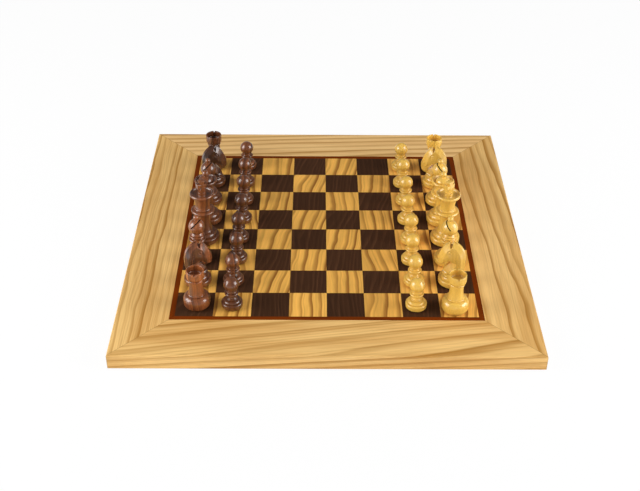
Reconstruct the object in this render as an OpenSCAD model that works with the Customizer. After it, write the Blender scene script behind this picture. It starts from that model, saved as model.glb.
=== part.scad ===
// Framed chessboard with its thirty-two turned and carved men.
// The origin is at the centre of the board's underside, +Z is up, and the men stand along X: dark ones at -X,
// light ones at +X. Rows are counted from the front (-Y) and columns from the left (-X).

/* [Board] */
// Length of each side of the square board
board_w = 400; // [370:5:440]
// Overall thickness of the board
board_t = 16; // [14:0.5:22]
// Side of one playing square
square_w = 36; // [34:0.5:38]
// Width of the thin border strip round the squares
strip_w = 5; // [3:0.5:8]
// Thickness of the veneer squares and border strips
veneer_t = 1; // [0.6:0.1:1.5]
// Thickness of the backing veneer under the core
backing_t = 0.6; // [0.4:0.1:1]
// Gap between one veneer square and the next
glue_gap = 0.1; // [0.05:0.01:0.2]
// Gap between the core panel and the frame
panel_gap = 0.1; // [0.05:0.05:0.3]
// Rounding of the frame's outer edges
edge_r = 1.2; // [0.5:0.1:2]

/* [Frame joints] */
// Width of the ledge inside the frame that carries the core panel
ledge_w = 8; // [5:0.5:12]
// Thickness of that ledge
ledge_t = 4; // [3:0.5:5]
// Length of a corner spline, along the mitre
spline_l = 34; // [20:1:40]
// Width of a corner spline, across the mitre
spline_w = 20; // [12:1:24]
// Thickness of a corner spline
spline_t = 3; // [2:0.5:4]
// Clearance of a corner spline in its slot, all round
spline_gap = 0.1; // [0.05:0.05:0.3]

/* [Men, shared] */
// Thickness of the cloth disc under each man
cloth_t = 0.8; // [0.5:0.1:1.5]
// How far the cloth disc stays inside the wood it is glued to
cloth_in = 1.1; // [0.5:0.1:2]
// Height of the rounding under a stepped foot
foot_round = 1.6; // [1:0.1:2.5]
// Diameter of a turned peg or its hole's core
peg_d = 4; // [3:0.5:5]
// Length of a peg
peg_l = 6; // [4:0.5:6.5]
// Clearance round a peg
peg_gap = 0.05; // [0.02:0.01:0.1]

/* [Pawn] */
// Height of a pawn
pawn_h = 33.2; // [31.2:0.5:37.2]
// Diameter of its base
pawn_base_d = 20.5; // [18:0.5:24]
// Diameter of its ball head
pawn_head_d = 14.6; // [12:0.2:15.4]
// Diameter of its collar
pawn_collar_d = 13.6; // [12:0.2:16]
// Diameter of its stem at the waist
pawn_waist_d = 7.6; // [6:0.2:9]

/* [Rook] */
// Height of a rook
rook_h = 41.5; // [39:0.5:47]
// Diameter of its base
rook_base_d = 26; // [24:0.5:29]
// Height of the rounding under it
rook_foot_round = 4.2; // [3:0.2:5]
// Diameter of its head
rook_head_d = 17.2; // [16:0.2:20]
// Diameter of its shaft at the waist
rook_waist_d = 13; // [11.4:0.2:15]
// Wall thickness round the hollow top
rook_wall = 1.3; // [1:0.1:2.4]
// Depth of the hollow top
rook_hollow = 7; // [4:0.5:9]
// Width of a notch in the rim
notch_w = 1.2; // [0.8:0.1:2]
// Depth of a notch in the rim
notch_depth = 1.6; // [1:0.1:2.4]
// Number of cuts across the rim, each making two notches
notch_cuts = 2; // [2:1:4]

/* [Knight] */
// Height of a knight
knight_h = 49; // [47:0.5:54]
// Diameter of its base
knight_base_d = 26.8; // [25:0.5:29]
// Height of the turned base that the head stands on
knight_base_h = 12.5; // [11.5:0.5:14]
// Thickness of the carved head at the neck
knight_head_t = 12.4; // [10:0.2:14]

/* [Bishop] */
// Height of a bishop
bishop_h = 54; // [52:0.5:59]
// Diameter of its base
bishop_base_d = 26.6; // [25:0.5:29]
// Diameter of its head
bishop_head_d = 16.2; // [14:0.2:18]
// Diameter of its widest collar
bishop_collar_d = 17; // [15:0.2:20]
// Diameter of its stem at the waist
bishop_waist_d = 10.4; // [8:0.2:12]
// Diameter of the ball on top
bishop_ball_d = 5.6; // [4:0.2:7]
// Width of the saw cut in the head
cut_w = 1; // [0.6:0.1:1.6]
// Slope of the saw cut
cut_angle = 45; // [30:5:60]

/* [Queen] */
// Height of a queen
queen_h = 61; // [59:0.5:66]
// Diameter of its base
queen_base_d = 29.4; // [27:0.2:31]
// Diameter of the crown's rim
queen_crown_d = 23.2; // [20:0.2:25]
// Diameter of its collar
queen_collar_d = 23.2; // [20:0.2:25]
// Diameter of its stem at the waist
queen_waist_d = 12.4; // [10:0.2:15]
// Diameter of the ball on top
queen_ball_d = 6.4; // [5:0.2:8]
// Depth of the channel between the crown's rim and the dome inside it
queen_channel = 2.2; // [1:0.2:3.6]

/* [King] */
// Height of a king to the top of its finial
king_h = 72; // [70:0.5:78]
// Diameter of its base
king_base_d = 30; // [28:0.2:32]
// Diameter of the crown's rim
king_crown_d = 24.8; // [22:0.2:27]
// Diameter of its collar
king_collar_d = 24; // [21:0.2:27]
// Diameter of its stem at the waist
king_waist_d = 13.2; // [11:0.2:16]
// Height of the finial above its seat
finial_h = 13.4; // [11:0.2:15]
// Width of the finial across its arms
finial_w = 10.4; // [8:0.2:12]
// Thickness of the finial
finial_t = 5.6; // [4.4:0.2:6.4]
// Depth of the dish in the crown, round the finial
king_dish = 3; // [1.5:0.5:4.5]

/* [Hidden] */
$fn = 96;

SIDES = ["dark", "light"];
ENDS = ["near", "far"];
BOARD_NODES = ["frame_front", "frame_back", "frame_left", "frame_right", "corner_splines", "core_panel",
               "backing_veneer", "border_front", "border_back", "border_left", "border_right",
               "light_squares", "dark_squares"];
SINGLE_MEN = ["king", "king_finial", "queen"];
PAIRED_MEN = ["rook", "bishop", "knight_base", "knight_head"];

// Board sizes that follow from the ones above
field_w = 8 * square_w;
panel_w = field_w + 2 * strip_w;
frame_w = (board_w - panel_w) / 2;
core_t = board_t - ledge_t - backing_t - veneer_t;
veneer_z = board_t - veneer_t;
spline_centre = board_w / 2 - frame_w / 2;
slight = 0.01;

// Where each man stands: how far it is off the middle of its square, and how far it is turned, in rows that
// run from the front to the back
dark_rank_off = [[2, -0.5], [-0.5, -0.5], [-3, 0], [0, 0], [0.5, 0], [-0.5, 0], [0.5, 0], [-0.5, 0.5]];
light_rank_off = [[-4, -5.5], [-3, 0.5], [-4, -0.5], [-3, -0.5],
                  [-4.5, -0.5], [-3.8, 0], [-4.3, 0], [-4, -5]];
dark_pawn_off = [[-0.5, -2], [-1.5, -1], [0, -0.5], [-0.2, -1], [1, -1.5], [1, -1.5], [0.5, -1.5], [0.5, -2]];
light_pawn_off = [[-4.8, -2.5], [-4, -1.5], [-4.3, -2], [-3, -2.5],
                  [-3.8, -2.5], [-3.5, -2], [-4.3, -2], [-4.3, -3]];
dark_rank_turn = [0, 16, -20, 30, 0, -20, 20, 0];
light_rank_turn = [0, -14, -45, 40, 0, 0, -12, 0];

dark_wood = [0.33, 0.15, 0.09];
light_wood = [0.88, 0.68, 0.34];
frame_wood = [0.80, 0.61, 0.35];
border_wood = [0.45, 0.17, 0.05];
wenge_wood = [0.16, 0.11, 0.09];
olive_wood = [0.80, 0.58, 0.28];

// ---------- curves ----------

// Points on an ellipse about c with half axes r, from angle a to angle b
function arc(c, r, a, b, n = 6) =
    [for (i = [0:n]) let (t = a + (b - a) * i / n) [c[0] + r[0] * cos(t), c[1] + r[1] * sin(t)]];

// A hollow sweep of waist radius w between heights z0 and z1, narrowest at zw, on a circle of radius s
function waist(w, zw, s, z0, z1, n = 10) =
    arc([w + s, zw], [s, s], 180 - asin((z0 - zw) / s), 180 - asin((z1 - zw) / s), n);

// A rounded ring of radius r about height z, t thick
function ring(r, z, t, n = 6) = arc([r - t / 2, z], [t / 2, t / 2], -90, 90, n);

// A smooth open curve through the points p, n steps from each point to the next
function along(p, n = 4) = concat(
    [for (i = [0:len(p) - 2], k = [0:n - 1]) spline_at(p, i, k / n)],
    [p[len(p) - 1]]
);
function spline_at(p, i, t) =
    let (a = p[max(i - 1, 0)], b = p[i], c = p[i + 1], d = p[min(i + 2, len(p) - 1)])
    b + (c - a) * t / 2 + (2 * a - 5 * b + 4 * c - d) * t * t / 2 + (3 * b - a - 3 * c + d) * t * t * t / 2;

// ---------- board ----------

// Section of a frame rail: the outer edge at 0, rounded, and the ledge under the panel at the inner edge
module rail_section() {
    polygon(concat(
        arc([edge_r, edge_r], [edge_r, edge_r], 270, 180, 5),
        arc([edge_r, board_t - edge_r], [edge_r, edge_r], 180, 90, 5),
        [[frame_w, board_t], [frame_w, ledge_t], [frame_w + ledge_w, ledge_t], [frame_w + ledge_w, 0]]
    ));
}

// Plan of a mitred piece along the front edge, from out to inner half widths
module mitred(outer, inner) {
    polygon([[-outer, -outer], [outer, -outer], [inner, -inner], [-inner, -inner]]);
}

module spline_slots(gap) {
    for (a = [45:90:315]) {
        rotate([0, 0, a]) translate([spline_centre * sqrt(2), 0, board_t / 2])
            cube([spline_l + 2 * gap, spline_w + 2 * gap, spline_t + 2 * gap], center = true);
    }
}

module rail(turn) {
    color(frame_wood) difference() {
        rotate([0, 0, turn]) intersection() {
            translate([-board_w / 2, -board_w / 2, 0]) rotate([90, 0, 90])
                linear_extrude(board_w) rail_section();
            linear_extrude(board_t) mitred(board_w / 2, board_w / 2 - frame_w - ledge_w);
        }
        spline_slots(spline_gap);
    }
}

module corner_splines() {
    color(frame_wood) spline_slots(0);
}

module core_panel() {
    side = panel_w - 2 * panel_gap;
    color("tan") translate([-side / 2, -side / 2, ledge_t + backing_t]) cube([side, side, core_t]);
}

module backing_veneer() {
    side = panel_w - 2 * panel_gap;
    color(olive_wood) translate([-side / 2, -side / 2, ledge_t]) cube([side, side, backing_t]);
}

module border(turn) {
    color(border_wood) rotate([0, 0, turn]) translate([0, 0, veneer_z])
        linear_extrude(veneer_t) mitred(panel_w / 2 - panel_gap, field_w / 2);
}

// The squares whose column and row add up to an odd or an even number; the near left corner is a dark one
module squares(odd) {
    tile = square_w - glue_gap;
    for (c = [0:7], r = [0:7]) {
        if ((c + r) % 2 == odd) {
            translate([(c - 3.5) * square_w, (r - 3.5) * square_w, veneer_z + veneer_t / 2])
                cube([tile, tile, veneer_t], center = true);
        }
    }
}

// ---------- men ----------

// Cloth disc and the rounding of height rise above it, for a base of radius r
function sole(r, rise, inset) = concat(
    [[0, 0], [r - inset - cloth_in, 0], [r - inset - cloth_in, cloth_t]],
    arc([r - inset, cloth_t + rise], [inset, rise], -90, 0, 5)
);

// A two-stepped base: a drum of radius r up to z1, a smaller swelling up to z2, and a bead of radius rb on it
function stepped_base(r, z1, z2, rb) = let (r2 = r * 0.835, lip = 1.4) concat(
    sole(r, foot_round, foot_round * 0.7),
    arc([r2, z1 - lip], [r - r2, lip], 0, 90, 4),
    [[r2 - 0.5, z1 + 0.1], [r2 - 0.5, z1 + 0.4]],
    arc([rb - 0.4, z1 + 0.6], [r2 + 0.4 - rb, z2 - z1 - 0.6], 0, 90, 7),
    ring(rb, z2 + 0.6, 1.2, 4)
);

module turned(profile) {
    rotate_extrude() polygon(profile);
}

function pawn_profile() = let (
    h = pawn_h, rh = pawn_head_d / 2, rc = pawn_collar_d / 2, rw = pawn_waist_d / 2,
    head_z = h - rh, collar_z = head_z - rh - 2.3, neck = rw + 0.6
) concat(
    stepped_base(pawn_base_d / 2, 6.6, 9.6, rw + 1.6),
    waist(rw, 13.6, 6, 11.2, collar_z - 1.2, 6),
    ring(rc, collar_z, 2.2, 6),
    ring(rc - 1.5, collar_z + 1.8, 1.4, 4),
    arc([0, head_z], [rh, rh], -acos(neck / rh), 90, 18)
);

module pawn() {
    turned(pawn_profile());
}

function rook_profile() = let (
    h = rook_h, r = rook_base_d / 2, rh = rook_head_d / 2, rw = rook_waist_d / 2, head_z = h - 6.6,
    inner = rh - rook_wall
) concat(
    sole(r, rook_foot_round, rook_foot_round * 0.5),
    arc([rw + 1.7, 7.8], [r - rw - 1.7, 5.8], 0, 90, 9),
    ring(rw + 2, 14.4, 1.6, 5),
    waist(rw, 26, 46, 15.3, head_z - 5.2, 8),
    ring(rw + 0.9, head_z - 4.2, 1.5, 4),
    [[rw + 0.5, head_z - 3.2]],
    arc([rh + 0.1 - 2.1, head_z], [2, 3], -70, 0, 5),
    [[rh, h - 0.5], [rh - 0.5, h], [inner + 0.4, h], [inner, h - 0.4]],
    [[inner, h - rook_hollow + 1.2], [inner - 1.2, h - rook_hollow], [0, h - rook_hollow - 0.4]]
);

module rook() {
    difference() {
        turned(rook_profile());
        for (i = [0:notch_cuts - 1]) {
            rotate([0, 0, i * 180 / notch_cuts + 90]) translate([0, 0, rook_h - notch_depth / 2 + slight])
                cube([rook_head_d + 2, notch_w, notch_depth + 2 * slight], center = true);
        }
    }
}

module bishop() {
    r = bishop_base_d / 2;
    rh = bishop_head_d / 2;
    rc = bishop_collar_d / 2;
    rw = bishop_waist_d / 2;
    ball_r = bishop_ball_d / 2;
    ball_z = bishop_h - ball_r;
    head_z = ball_z - ball_r - rh;
    neck = 5;
    stalk = 1.9;
    difference() {
        turned(concat(
            stepped_base(r, 7, 11, rw + 2.4),
            waist(rw, 21, 30, 12.2, head_z - 15.6, 8),
            ring(rc, head_z - 13.9, 2.4, 6),
            ring(rc - 2, head_z - 12, 1.2, 4),
            [[rw + 0.6, head_z - 11.2]],
            ring(rc - 0.9, head_z - 10, 1.6, 5),
            ring(rc - 2, head_z - 8.3, 1.5, 5),
            arc([0, head_z], [rh, rh], -acos(neck / rh), 0, 8),
            arc([0, head_z], [rh, rh + 0.6], 7, acos(stalk / rh), 10),
            arc([0, ball_z], [ball_r, ball_r], -acos(stalk / ball_r), 90, 9)
        ));
        translate([-0.35 * rh, 0, head_z + 0.2 * rh]) rotate([0, -cut_angle, 0])
            translate([0, -rh, -cut_w / 2]) cube([2.4 * rh, 2 * rh, cut_w]);
    }
}

// A crown that spreads from the neck radius rn at z0 to a rim of radius rr, whose top is at z1
function crown(rn, z0, rr, z1) = concat(
    arc([rn + (rr - rn), z0 + 1], [rr - rn, z1 - z0 - 3.4], 180, 118, 7),
    arc([rr - 1.4, z1 - 1.6], [1.4, 1.6], -60, 75, 6)
);

// Stem, collar and its rings, for a queen or a king: waist radius rw, collar radius rc at height zc
function stem(rw, rc, zc) = concat(
    waist(rw, zc - 11, 40, 13.4, zc - 4.6, 9),
    ring(rc - 3.6, zc - 3.2, 1.8, 4),
    [[rc - 4.4, zc - 2]],
    ring(rc, zc, 3, 7),
    ring(rc - 3.2, zc + 2.8, 1.8, 5)
);

module queen() {
    rr = queen_crown_d / 2;
    rc = queen_collar_d / 2;
    rw = queen_waist_d / 2;
    ball_r = queen_ball_d / 2;
    ball_z = queen_h - ball_r;
    rim_z = ball_z - 6.8;
    dome_r = rr - 3.9;
    dome_z = rim_z - queen_channel;
    stalk = 2.2;
    turned(concat(
        stepped_base(queen_base_d / 2, 7.4, 11.6, rw + 2.6),
        stem(rw, rc, rim_z - 15.5),
        crown(rw + 0.5, rim_z - 11.4, rr, rim_z),
        [[rr - 1.7, rim_z - 0.5], [rr - 2.3, dome_z + 0.3], [dome_r + 0.5, dome_z]],
        arc([0, dome_z], [dome_r, queen_channel + 4], 3, acos(stalk / dome_r), 9),
        arc([0, ball_z], [ball_r, ball_r], -acos(stalk / ball_r), 90, 10)
    ));
}

module king() {
    rr = king_crown_d / 2;
    rc = king_collar_d / 2;
    rw = king_waist_d / 2;
    seat_z = king_h - finial_h;
    rim_z = seat_z - 0.8;
    seat_r = finial_t / 2 + 1.4;
    lip = 0.6;
    fillet = 1.2;
    difference() {
        turned(concat(
            stepped_base(king_base_d / 2, 7.6, 12, rw + 2.8),
            stem(rw, rc, rim_z - 21),
            crown(rw + 0.9, rim_z - 16.4, rr, rim_z),
            arc([seat_r + fillet, rim_z - lip], [rr - seat_r - fillet - 1.8, king_dish - lip], 0, -80, 8),
            arc([seat_r + fillet, rim_z - king_dish + fillet], [fillet, fillet], 270, 180, 4),
            [[seat_r, seat_z], [0, seat_z]]
        ));
        translate([0, 0, seat_z - peg_l - peg_gap])
            cylinder(d = peg_d * 0.8 + 2 * peg_gap, h = peg_l + 1);
    }
}

// Carved cross on its peg: four arms that widen outwards
module king_finial() {
    seat_z = king_h - finial_h;
    w = finial_w / 2;
    mid_z = finial_h * 0.56;
    thin = finial_t * 0.28;
    wide = finial_w * 0.3;
    translate([0, 0, seat_z]) intersection() {
        translate([0, finial_t / 2, 0]) rotate([90, 0, 0]) linear_extrude(finial_t) polygon([
            [-wide, 0], [wide, 0], [thin, mid_z - thin], [w, mid_z - wide], [w, mid_z + wide],
            [thin, mid_z + thin], [wide, finial_h], [-wide, finial_h],
            [-thin, mid_z + thin], [-w, mid_z + wide], [-w, mid_z - wide], [-thin, mid_z - thin]
        ]);
        turned([[0, 0], [seat_t() + 0.6, 0], [w + 0.1, mid_z - wide], [w + 0.1, mid_z + wide],
                [w * 0.8, finial_h - 0.6], [w * 0.6, finial_h], [0, finial_h]]);
    }
    translate([0, 0, seat_z - peg_l]) cylinder(d = peg_d * 0.8, h = peg_l + slight);
}
function seat_t() = finial_t / 2 + 0.4;

module knight_base() {
    r = knight_base_d / 2;
    top = knight_base_h;
    difference() {
        turned(concat(
            sole(r, foot_round, foot_round * 0.7),
            arc([r * 0.86, 5.6], [r * 0.14, 1.5], 0, 90, 4),
            [[r * 0.82, 7.2], [r * 0.82, 7.5]],
            arc([r * 0.7, 7.7], [r * 0.15, top - 9.2], 0, 90, 6),
            ring(r * 0.76, top - 0.7, 1.4, 4),
            [[0, top]]
        ));
        translate([0, 0, top - peg_l - peg_gap]) cylinder(d = peg_d + 2 * peg_gap, h = peg_l + 1);
    }
}

// Side outline of the carved head, facing +X, from the base line up the neck, over the ear and the brow,
// round the muzzle and back down the throat and chest. It is drawn for a head drawn_h high on a base drawn_d
// wide, and stretched to the sizes set above.
drawn_h = 36.5;
drawn_d = 26.8;
stretch_x = knight_base_d / drawn_d;
stretch_z = (knight_h - knight_base_h) / drawn_h;
function fitted(p) = [for (q = p) [q[0] * stretch_x, knight_base_h + q[1] * stretch_z]];
function head_outline() = concat(
    along(fitted([[-9.6, 0], [-11.3, 6], [-11.9, 14], [-11.4, 21], [-9, 27.6], [-4.8, 32.6], [1, 36.5]])),
    fitted([[2.2, 30.2], [3.6, 30]]),
    along(fitted([[4.8, 34.6], [8.4, 31.6], [11.4, 27.4], [13.6, 22.4], [14.9, 17.4], [15, 13.6], [13.6, 10.8],
                  [10.8, 10.2], [8, 11.8], [5.4, 13.8], [2.6, 15.4]])),
    along(fitted([[1.8, 14.4], [3.2, 11.4], [6.2, 8], [8.8, 4.4], [9.6, 0]]))
);

module knight_head() {
    b = knight_base_h;
    h = knight_h;
    t = knight_head_t / 2;
    long = 2 * knight_base_d;
    ear_cut = 0.25 * t;
    difference() {
        intersection() {
            translate([0, long / 2, 0]) rotate([90, 0, 0]) linear_extrude(long) polygon(head_outline());
            // front view: thickest at the neck, thinner at the ears
            translate([-long / 2, 0, b]) rotate([90, 0, 90]) linear_extrude(long) scale([t, h - b]) polygon([
                [-0.92, 0], [0.92, 0], [1, 0.27], [0.94, 0.55], [0.76, 0.78], [0.6, 1.03],
                [-0.6, 1.03], [-0.76, 0.78], [-0.94, 0.55], [-1, 0.27]
            ]);
            // plan: rounded mane behind, narrower muzzle in front
            translate([0, 0, b]) linear_extrude(h - b) scale([stretch_x, t]) polygon(concat(
                arc([-6, 0], [8, 1], 250, 110, 10),
                [[4, 1], [9, 0.86], [13.2, 0.62], [15.6, 0.5], [16.4, 0.3]],
                [[16.4, -0.3], [15.6, -0.5], [13.2, -0.62], [9, -0.86], [4, -1]]
            ));
        }
        // groove between the two ears
        translate([-long / 2, 0, h + slight]) rotate([90, 0, 90])
            linear_extrude(long / 2 - slight) scale([ear_cut, stretch_z]) polygon([[-1, 0], [1, 0], [0, -4.2]]);
    }
    translate([0, 0, b - peg_l]) cylinder(d = peg_d, h = peg_l + 1);
}

// Stands a man on the board in its side's colour, at a column and row, moved by off and turned by turn
module stood(side, column, row, off, turn = 0) {
    facing = side == "dark" ? 0 : 180;
    color(side == "dark" ? dark_wood : light_wood)
        translate([(column - 4.5) * square_w + off[0], (row - 4.5) * square_w + off[1], board_t])
            rotate([0, 0, facing + turn]) children();
}

module in_rank(side, row) {
    off = side == "dark" ? dark_rank_off[row - 1] : light_rank_off[row - 1];
    turn = side == "dark" ? dark_rank_turn[row - 1] : light_rank_turn[row - 1];
    stood(side, side == "dark" ? 1 : 8, row, off, turn) children();
}

module as_pawn(side, row) {
    off = side == "dark" ? dark_pawn_off[row - 1] : light_pawn_off[row - 1];
    stood(side, side == "dark" ? 2 : 7, row, off) children();
}

rail(0);  // frame_front
rail(90);  // frame_right
rail(180);  // frame_back
rail(270);  // frame_left
corner_splines();
core_panel();
backing_veneer();
border(0);  // border_front
border(90);  // border_right
border(180);  // border_back
border(270);  // border_left
color(olive_wood) squares(1);  // light_squares
color(wenge_wood) squares(0);  // dark_squares

for (side = SIDES) {
    in_rank(side, 4) king();
    in_rank(side, 4) king_finial();
    in_rank(side, 5) queen();
    for (end = [0, 1]) {
        in_rank(side, end == 0 ? 1 : 8) rook();
        in_rank(side, end == 0 ? 2 : 7) knight_base();
        in_rank(side, end == 0 ? 2 : 7) knight_head();
        in_rank(side, end == 0 ? 3 : 6) bishop();
    }
    for (i = [1:8]) {
        as_pawn(side, i) pawn();
    }
}
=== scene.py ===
"""Looks for a framed wooden chessboard and its lacquered chessmen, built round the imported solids."""

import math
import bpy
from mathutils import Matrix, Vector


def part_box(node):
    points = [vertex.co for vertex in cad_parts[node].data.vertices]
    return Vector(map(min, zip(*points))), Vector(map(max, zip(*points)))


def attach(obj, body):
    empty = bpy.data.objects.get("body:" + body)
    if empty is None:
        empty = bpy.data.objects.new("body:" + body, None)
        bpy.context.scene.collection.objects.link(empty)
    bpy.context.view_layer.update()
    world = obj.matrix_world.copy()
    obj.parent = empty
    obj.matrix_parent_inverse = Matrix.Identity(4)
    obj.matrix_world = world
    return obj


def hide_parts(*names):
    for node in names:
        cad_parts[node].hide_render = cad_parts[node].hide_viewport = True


bl_info = {
    "name": "Framed Chessboard and Men",
    "version": (1, 0, 0),
    "blender": (4, 5, 0),
    "location": "3D View > Sidebar > Chess",
    "description": "Finishes the board's woods and models the turned and carved men",
    "category": "Object",
}

import bmesh
import bpy
import numpy as np
from bpy.props import FloatProperty, FloatVectorProperty, IntProperty, PointerProperty
from bpy.types import Operator, Panel, PropertyGroup
from mathutils import Matrix, Vector

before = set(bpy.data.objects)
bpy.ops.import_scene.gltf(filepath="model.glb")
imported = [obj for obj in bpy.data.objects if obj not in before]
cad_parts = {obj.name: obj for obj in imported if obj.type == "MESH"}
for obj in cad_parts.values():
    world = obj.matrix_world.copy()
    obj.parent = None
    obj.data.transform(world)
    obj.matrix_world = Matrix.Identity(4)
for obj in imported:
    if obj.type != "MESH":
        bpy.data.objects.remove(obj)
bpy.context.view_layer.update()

MM = 0.001
BOARD_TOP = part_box("light_squares")[1].z
FIELD_HALF = (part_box("dark_squares")[1].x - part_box("dark_squares")[0].x) / 2
PITCH = FIELD_HALF / 4
SIDES = ("dark", "light")
ENDS = ("near", "far")
QUARTER = math.radians(90)
# Indices of a man's materials; the slit's material is painted shade.
WOOD_FINISH, CLOTH_FINISH, SLIT_PAINTED_SHADE = range(3)


# ---------- settings ----------

def colour(name, text, value):
    return FloatVectorProperty(name=name, description=text, subtype="COLOR", size=3, min=0, max=1, default=value)


def length(name, text, value):
    return FloatProperty(name=name, description=text, subtype="DISTANCE", unit="LENGTH", default=value, min=0)


def angle(name, text, degrees):
    return FloatProperty(name=name, description=text, subtype="ANGLE", default=math.radians(degrees))


def number(name, text, value):
    return FloatProperty(name=name, description=text, default=value)


class ChessBoardSettings(PropertyGroup):
    frame_pale: colour("Frame, pale wood", "Early wood of the broad frame", (0.83, 0.525, 0.190))
    frame_tan: colour("Frame, tan wood", "Duller early wood of the broad frame", (0.69, 0.395, 0.125))
    frame_dark: colour("Frame, grain lines", "Late wood of the broad frame", (0.37, 0.155, 0.014))
    back_pale: colour("Back rail, pale wood", "Early wood of the paler back rail", (0.90, 0.59, 0.25))
    back_tan: colour("Back rail, tan wood", "Duller early wood of the paler back rail", (0.79, 0.49, 0.195))
    border: colour("Border strip", "Red-brown strip round the squares", (0.195, 0.033, 0.001))
    light_square: colour("Light squares", "Ground colour of the light veneer", (0.93, 0.49, 0.095))
    light_grain: colour("Light squares, grain", "Grain lines of the light veneer", (0.22, 0.070, 0.008))
    dark_square: colour("Dark squares", "Ground colour of the dark veneer", (0.053, 0.022, 0.010))
    joint_line: length("Mitre line", "Width of the line at each mitre", 0.00025)


class ChessMenSettings(PropertyGroup):
    dark_wood: colour("Dark men", "Colour of the dark men's wood", (0.33, 0.097, 0.025))
    dark_grain: colour("Dark men, grain", "Grain lines of the dark men", (0.050, 0.015, 0.007))
    light_wood: colour("Light men", "Colour of the light men's wood", (0.78, 0.475, 0.080))
    light_grain: colour("Light men, grain", "Grain lines of the light men", (0.58, 0.29, 0.030))
    # The slit's near-black colour is painted shade, standing in for the shade deep inside the narrow kerf.
    slit: colour("Slit", "Painted shade inside the bishops' slits", (0.020, 0.009, 0.004))
    cloth: colour("Cloth", "Cloth under each man's foot", (0.012, 0.045, 0.022))
    spin_steps: IntProperty(name="Spin steps", description="Steps round a turned man", default=80, min=24)
    carve_grid: length("Carving grid", "Grid on which the knights' heads are carved", 0.0003)


class ChessStageSettings(PropertyGroup):
    lens: number("Lens", "Focal length in millimetres", 59.99)
    camera_at: FloatVectorProperty(name="Camera", description="Where the camera stands", subtype="TRANSLATION",
                                   unit="LENGTH", size=3, default=(-0.01077, -0.92191, 0.66035))
    camera_down: angle("Looks down", "Angle below level", 35.8175)
    camera_aside: angle("Looks aside", "Angle from straight ahead", 0.2773)
    camera_roll: angle("Roll", "Turn about the view", 0.3851)
    box_watts: number("Soft boxes", "Power of each side light in watts", 10.9)
    top_watts: number("Top light", "Power of the top light in watts", 1.0)
    front_watts: number("Front light", "Power of the front light in watts", 7.0)
    sky: number("Room light", "Strength of the even light from all round", 0.25)
    mirrored: number("Mirrored room", "Strength of the room as the lacquer mirrors it", 0.15)


# ---------- mesh helpers ----------

TURNED_CREASE = 35   # degrees between two faces of turned wood from which their edge shows


def arc(cx, cy, rx, ry, a, b, n):
    """Points on an ellipse from angle a to angle b, in degrees."""
    return [(cx + rx * math.cos(math.radians(a + (b - a) * i / n)),
             cy + ry * math.sin(math.radians(a + (b - a) * i / n))) for i in range(n + 1)]


def arccos(share):
    return math.degrees(math.acos(share))


def waist(narrow, at, sweep, low, high, n):
    """A hollow from low to high, curved by the radius sweep and of the radius narrow at its narrowest height."""
    return arc(narrow + sweep, at, sweep, sweep, 180 - math.degrees(math.asin((low - at) / sweep)),
               180 - math.degrees(math.asin((high - at) / sweep)), n)


def ring(r, z, thick, n):
    """A rounded bead of radius r about height z."""
    return arc(r - thick / 2, z, thick / 2, thick / 2, -90, 90, n)


def along(points, n):
    """A smooth open curve through the points."""
    out = []
    for i in range(len(points) - 1):
        a, b = Vector(points[max(i - 1, 0)]), Vector(points[i])
        c, d = Vector(points[i + 1]), Vector(points[min(i + 2, len(points) - 1)])
        for k in range(n):
            t = k / n
            out.append(tuple(b + (c - a) * t / 2 + (2 * a - 5 * b + 4 * c - d) * t * t / 2
                             + (3 * b - a - 3 * c + d) * t ** 3 / 2))
    return out + [tuple(points[-1])]


def turned(profile, steps):
    """Spins a profile of (radius, height) in millimetres about Z, as a lathe does."""
    bm = bmesh.new()
    verts = [bm.verts.new((r * MM, 0, z * MM)) for r, z in profile]
    edges = [bm.edges.new(pair) for pair in zip(verts, verts[1:])]
    bmesh.ops.spin(bm, geom=verts + edges, cent=(0, 0, 0), axis=(0, 0, 1), dvec=(0, 0, 0),
                   angle=2 * math.pi, steps=steps, use_merge=True, use_duplicate=False)
    bmesh.ops.remove_doubles(bm, verts=bm.verts, dist=2e-6)
    bmesh.ops.recalc_face_normals(bm, faces=bm.faces)
    return bm


def prism(corners, reach):
    """A solid drawn out from a flat outline by the vector reach, in millimetres."""
    bm = bmesh.new()
    face = bm.faces.new([bm.verts.new([place * MM for place in corner]) for corner in corners])
    made = bmesh.ops.extrude_face_region(bm, geom=[face])["geom"]
    bmesh.ops.translate(bm, verts=[g for g in made if isinstance(g, bmesh.types.BMVert)],
                        vec=[r * MM for r in reach])
    bmesh.ops.recalc_face_normals(bm, faces=bm.faces)
    return bm


def slab(outline, half):
    """A plate with the given outline in X and Z, from -half to half in Y."""
    return prism([(x, -half, z) for x, z in outline], (0, 2 * half, 0))


def block(size, matrix):
    """A cutter block of the given size in millimetres."""
    bm = bmesh.new()
    bmesh.ops.create_cube(bm, size=1)
    bmesh.ops.scale(bm, verts=bm.verts, vec=[s * MM for s in size])
    bmesh.ops.transform(bm, verts=bm.verts, matrix=matrix)
    return bm


def as_object(bm, name):
    mesh = bpy.data.meshes.new(name)
    bm.to_mesh(mesh)
    bm.free()
    obj = bpy.data.objects.new(name, mesh)
    bpy.context.scene.collection.objects.link(obj)
    return obj


def discard(obj):
    mesh = obj.data
    bpy.data.objects.remove(obj)
    bpy.data.meshes.remove(mesh)


def finished(obj):
    """The object's mesh with its modifiers worked in, as a bmesh; the object itself is taken away."""
    graph = bpy.context.evaluated_depsgraph_get()
    graph.update()
    bm = bmesh.new()
    bm.from_mesh(obj.evaluated_get(graph).to_mesh())
    discard(obj)
    return bm


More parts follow.
